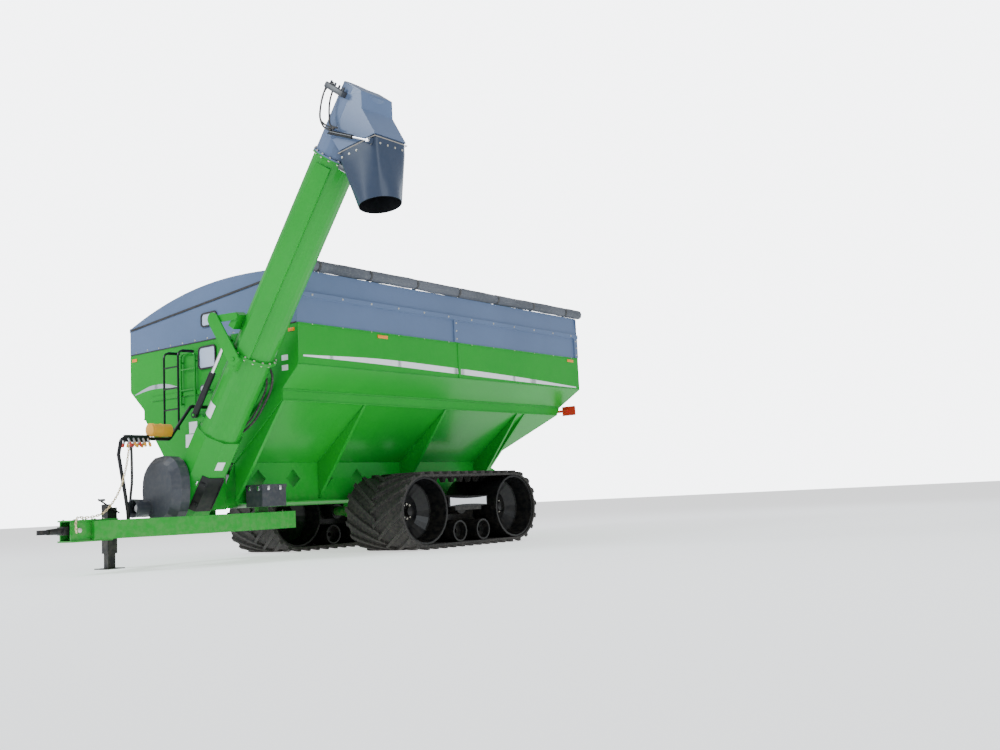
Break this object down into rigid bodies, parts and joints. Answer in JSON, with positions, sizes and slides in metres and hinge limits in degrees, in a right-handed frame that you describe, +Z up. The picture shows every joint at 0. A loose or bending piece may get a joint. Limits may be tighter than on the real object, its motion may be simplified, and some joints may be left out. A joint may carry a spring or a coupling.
{
  "type": "tracked grain cart",
  "caption": "Tracked farm grain cart: a hopper tank on rubber tracks with a folding unloading auger, a tilting spout, a tongue with a jack, a ladder and a rolled tarp.",
  "frame": {"origin": "centre of the box's floor, on the ground", "axes": "+Z up, +Y towards the rear, so the hitch points to -Y, and +X towards the side that the auger unloads to"},
  "size_m": [5.893, 9.06, 5.6109],
  "materials": {
    "green_paint": "gloss",
    "grey_paint": "satin",
    "black_paint": "satin",
    "rubber": "matte, dusty",
    "steel": "satin",
    "plastic": "matte",
    "yellow_plastic": "satin",
    "zinc": "dull",
    "pane": "gloss",
    "lamp_red": "gloss",
    "tarp": "matte"
  },
  "bodies": {
    "cart": {"tongue_rail_left": "green_paint", "tongue_rail_right": "green_paint", "tongue_nose": "green_paint", "tongue_cross_beam": "green_paint", "frame_side_left": "green_paint", "frame_side_right": "green_paint", "axle_beam": "green_paint", "tank_side_left": "green_paint", "tank_side_right": "green_paint", "tank_front_wall": "green_paint", "tank_rear_wall": "green_paint", "auger_trough": "green_paint", "side_board_left": "grey_paint", "side_board_right": "grey_paint", "end_board_front": "grey_paint", "end_board_rear": "grey_paint", "tarp_roll": "tarp", "window_lower": "pane", "window_upper": "pane", "lower_auger_tube": "green_paint", "gear_case": "plastic", "hose_rack": "black_paint", "document_box": "yellow_plastic", "tool_box": "plastic", "rear_lamp_left": "lamp_red", "rear_lamp_right": "lamp_red", "jack_tube": "black_paint", "safety_chain": "zinc", "hydraulic_hose": "rubber"},
    "gate": {"flow_gate": "steel"},
    "hitch_ring": {"hitch": "black_paint"},
    "jack_foot": {"jack_leg": "black_paint"},
    "crank": {"jack_crank": "black_paint"},
    "ladder": {"ladder_lower": "black_paint"},
    "door": {"clean_out_door": "black_paint"},
    "track_left": {"track_frame_left": "black_paint", "belt_left": "rubber"},
    "track_right": {"track_frame_right": "black_paint", "belt_right": "rubber"},
    "wheel_left_front": {"wheel_left_front": "black_paint"},
    "wheel_left_rear": {"wheel_left_rear": "black_paint"},
    "wheel_right_front": {"wheel_right_front": "black_paint"},
    "wheel_right_rear": {"wheel_right_rear": "black_paint"},
    "roller_left_front": {"roller_left_front": "rubber"},
    "roller_left_rear": {"roller_left_rear": "rubber"},
    "roller_right_front": {"roller_right_front": "rubber"},
    "roller_right_rear": {"roller_right_rear": "rubber"},
    "upper_auger": {"upper_auger_tube": "green_paint", "upper_auger_head": "grey_paint", "spout_cylinder": "black_paint"},
    "spout": {"discharge_spout": "grey_paint"},
    "spout_rod": {"spout_cylinder_rod": "steel"},
    "screw_upper": {"upper_flighting": "steel"},
    "screw_lower": {"lower_flighting": "steel"},
    "screw_sump": {"sump_flighting": "steel"},
    "drive_shaft": {"pto_shaft": "steel"},
    "fold_arm": {"fold_arm": "green_paint"},
    "fold_link": {"fold_link": "green_paint"},
    "fold_cylinder": {"fold_cylinder": "black_paint"},
    "fold_rod": {"fold_cylinder_rod": "steel"}
  },
  "joints": [
    {"name": "auger_fold", "type": "hinge", "parent": "cart", "child": "upper_auger", "pos_m": [0.14703, -2.58251, 2.83158], "axis": [0.1393, -0.9848, -0.1036], "range_deg": [0, 150]},
    {"name": "arm_turn", "type": "hinge", "parent": "cart", "child": "fold_arm", "pos_m": [0.47582, -2.86405, 2.52348], "axis": [0.1393, -0.9848, -0.1036], "range_deg": [0, 71]},
    {"name": "link_turn", "type": "hinge", "parent": "fold_arm", "child": "fold_link", "pos_m": [0.20623, -2.92984, 3.04677], "axis": [0.1393, -0.9848, -0.1036], "range_deg": [0, 43]},
    {"name": "cylinder_turn", "type": "hinge", "parent": "cart", "child": "fold_cylinder", "pos_m": [-0.34976, -2.83493, 1.90869], "axis": [0.1393, -0.9848, -0.1036], "range_deg": [-5, 0]},
    {"name": "cylinder_stroke", "type": "slide", "parent": "fold_cylinder", "child": "fold_rod", "axis": [0.601, 0.0009, 0.7993], "range_m": [-0.36, 0]},
    {"name": "spout_tilt", "type": "hinge", "parent": "upper_auger", "child": "spout", "pos_m": [2.91451, -2.52, 4.784], "axis": [0, -1, 0], "range_deg": [0, 30]},
    {"name": "spout_stroke", "type": "slide", "parent": "upper_auger", "child": "spout_rod", "axis": [0.9258, 0, -0.378], "range_m": [0, 0.05]},
    {"name": "shaft_turn", "type": "hinge", "parent": "cart", "child": "drive_shaft", "pos_m": [-1.07049, -3.05, 0.77], "axis": [0, -1, 0], "continuous": true},
    {"name": "lower_screw_turn", "type": "hinge", "parent": "cart", "child": "screw_lower", "pos_m": [-1.01868, -2.52, 0.67017], "axis": [0.5968, 0, 0.8024], "continuous": true},
    {"name": "upper_screw_turn", "type": "hinge", "parent": "upper_auger", "child": "screw_upper", "pos_m": [0.44941, -2.52, 2.64407], "axis": [0.5968, 0, 0.8024], "continuous": true},
    {"name": "sump_screw_turn", "type": "hinge", "parent": "cart", "child": "screw_sump", "pos_m": [-1.07049, 3.23, 0.97], "axis": [0, -1, 0], "continuous": true},
    {"name": "track_rock_left", "type": "hinge", "parent": "cart", "child": "track_left", "pos_m": [0.26751, 1.23, 0.6], "axis": [1, 0, 0], "range_deg": [-8, 8]},
    {"name": "wheel_turn_left_front", "type": "hinge", "parent": "track_left", "child": "wheel_left_front", "pos_m": [0.26751, 0.19, 0.552], "axis": [1, 0, 0], "continuous": true},
    {"name": "wheel_turn_left_rear", "type": "hinge", "parent": "track_left", "child": "wheel_left_rear", "pos_m": [0.26751, 2.27, 0.552], "axis": [1, 0, 0], "continuous": true},
    {"name": "roller_turn_left_front", "type": "hinge", "parent": "track_left", "child": "roller_left_front", "pos_m": [0.26751, 0.96, 0.231], "axis": [1, 0, 0], "continuous": true},
    {"name": "roller_turn_left_rear", "type": "hinge", "parent": "track_left", "child": "roller_left_rear", "pos_m": [0.26751, 1.5, 0.231], "axis": [1, 0, 0], "continuous": true},
    {"name": "track_rock_right", "type": "hinge", "parent": "cart", "child": "track_right", "pos_m": [-2.40849, 1.23, 0.6], "axis": [1, 0, 0], "range_deg": [-8, 8]},
    {"name": "wheel_turn_right_front", "type": "hinge", "parent": "track_right", "child": "wheel_right_front", "pos_m": [-2.40849, 0.19, 0.552], "axis": [1, 0, 0], "continuous": true},
    {"name": "wheel_turn_right_rear", "type": "hinge", "parent": "track_right", "child": "wheel_right_rear", "pos_m": [-2.40849, 2.27, 0.552], "axis": [1, 0, 0], "continuous": true},
    {"name": "roller_turn_right_front", "type": "hinge", "parent": "track_right", "child": "roller_right_front", "pos_m": [-2.40849, 0.96, 0.231], "axis": [1, 0, 0], "continuous": true},
    {"name": "roller_turn_right_rear", "type": "hinge", "parent": "track_right", "child": "roller_right_rear", "pos_m": [-2.40849, 1.5, 0.231], "axis": [1, 0, 0], "continuous": true},
    {"name": "jack_lift", "type": "slide", "parent": "cart", "child": "jack_foot", "axis": [0, 0, 1], "range_m": [0, 0.16]},
    {"name": "crank_turn", "type": "hinge", "parent": "cart", "child": "crank", "pos_m": [-1.80049, -3.16, 0.819], "axis": [1, 0, 0], "continuous": true},
    {"name": "hitch_pitch", "type": "hinge", "parent": "cart", "child": "hitch_ring", "pos_m": [-1.07049, -4.07, 0.535], "axis": [1, 0, 0], "range_deg": [-15, 15]},
    {"name": "ladder_swing", "type": "hinge", "parent": "cart", "child": "ladder", "pos_m": [-1.07049, -2.135, 2.896], "axis": [-1, 0, 0], "range_deg": [0, 70]},
    {"name": "door_swing", "type": "hinge", "parent": "cart", "child": "door", "pos_m": [-0.48198, -2.41, 0.89412], "axis": [0.5968, 0, 0.8024], "range_deg": [0, 50]},
    {"name": "gate_slide", "type": "slide", "parent": "cart", "child": "gate", "axis": [0, 1, 0], "range_m": [0, 0.7]}
  ],
  "couplings": [
    {"joint": "arm_turn", "follows": "auger_fold", "ratio": 0.467},
    {"joint": "link_turn", "follows": "auger_fold", "ratio": 0.281},
    {"joint": "cylinder_turn", "follows": "auger_fold", "ratio": -0.026},
    {"joint": "cylinder_stroke", "follows": "auger_fold", "m_per_rad": -0.136},
    {"joint": "spout_stroke", "follows": "spout_tilt", "m_per_rad": 0.092},
    {"joint": "lower_screw_turn", "follows": "shaft_turn", "ratio": -0.45},
    {"joint": "upper_screw_turn", "follows": "shaft_turn", "ratio": -0.45},
    {"joint": "sump_screw_turn", "follows": "shaft_turn", "ratio": 0.3},
    {"joint": "crank_turn", "follows": "jack_lift", "rad_per_m": 251},
    {"joint": "wheel_turn_left_rear", "follows": "wheel_turn_left_front", "ratio": 1},
    {"joint": "roller_turn_left_front", "follows": "wheel_turn_left_front", "ratio": 3.0446},
    {"joint": "roller_turn_left_rear", "follows": "wheel_turn_left_front", "ratio": 3.0446},
    {"joint": "wheel_turn_right_rear", "follows": "wheel_turn_right_front", "ratio": 1},
    {"joint": "roller_turn_right_front", "follows": "wheel_turn_right_front", "ratio": 3.0446},
    {"joint": "roller_turn_right_rear", "follows": "wheel_turn_right_front", "ratio": 3.0446}
  ]
}
